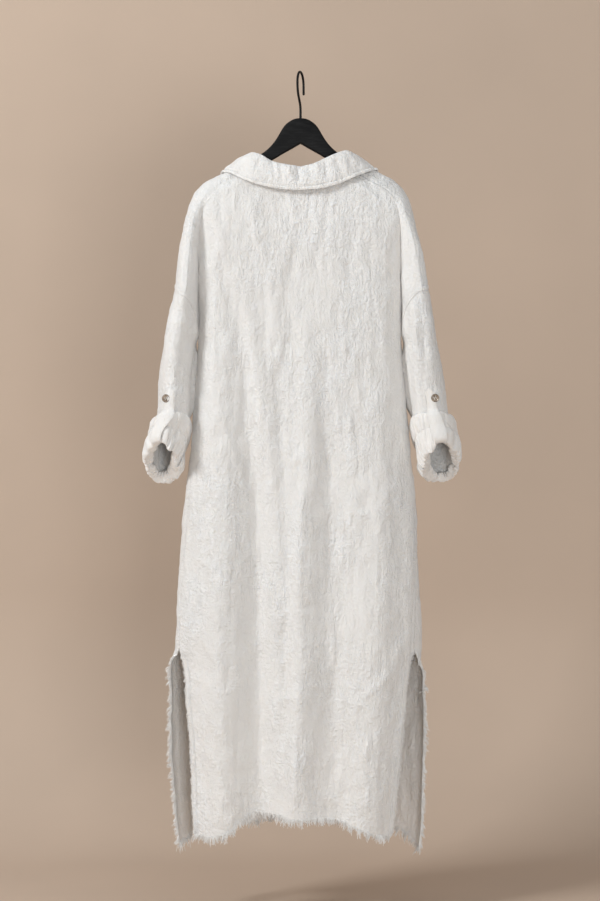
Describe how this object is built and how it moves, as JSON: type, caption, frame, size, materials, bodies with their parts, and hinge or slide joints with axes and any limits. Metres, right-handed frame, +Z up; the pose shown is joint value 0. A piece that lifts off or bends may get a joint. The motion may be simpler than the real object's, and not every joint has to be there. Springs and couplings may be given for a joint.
{
  "type": "shirt dress on a hanger",
  "caption": "Long linen shirt dress with turned-down collar, rolled sleeves, side slits and frayed hem, hanging on a flat black hanger with a wire hook.",
  "frame": {"origin": "the inner top of the hanger's hook, where it rests on a rail", "axes": "+Z up; +Y to the back of the dress, the side that the picture shows; +X to the wearer's left"},
  "size_m": [0.6053, 0.1594, 1.5103],
  "materials": {
    "linen": "crinkled plain weave, undyed off-white",
    "linen_thread": "loose threads",
    "horn_button": "polished",
    "black_wood": "matte black lacquer",
    "black_wire": "satin black"
  },
  "bodies": {
    "root": {"back": "linen", "front_left": "linen", "front_right": "linen", "sleeve_left": "linen", "sleeve_right": "linen", "cuff_left": "linen", "cuff_right": "linen", "tab_left": "linen", "tab_right": "linen", "collar_stand": "linen", "collar": "linen", "fringe_hem_back": "linen_thread", "fringe_hem_front_left": "linen_thread", "fringe_hem_front_right": "linen_thread", "fringe_slit_front_left": "linen_thread", "fringe_slit_front_right": "linen_thread", "fringe_slit_back_left": "linen_thread", "fringe_slit_back_right": "linen_thread", "button_front_1": "horn_button", "button_front_2": "horn_button", "button_front_3": "horn_button", "button_front_4": "horn_button", "button_front_5": "horn_button", "button_front_6": "horn_button", "button_front_7": "horn_button", "button_front_8": "horn_button", "button_front_9": "horn_button", "button_tab_left": "horn_button", "button_tab_right": "horn_button", "hanger": "black_wood", "hanger_hook": "black_wire"}
  },
  "joints": []
}
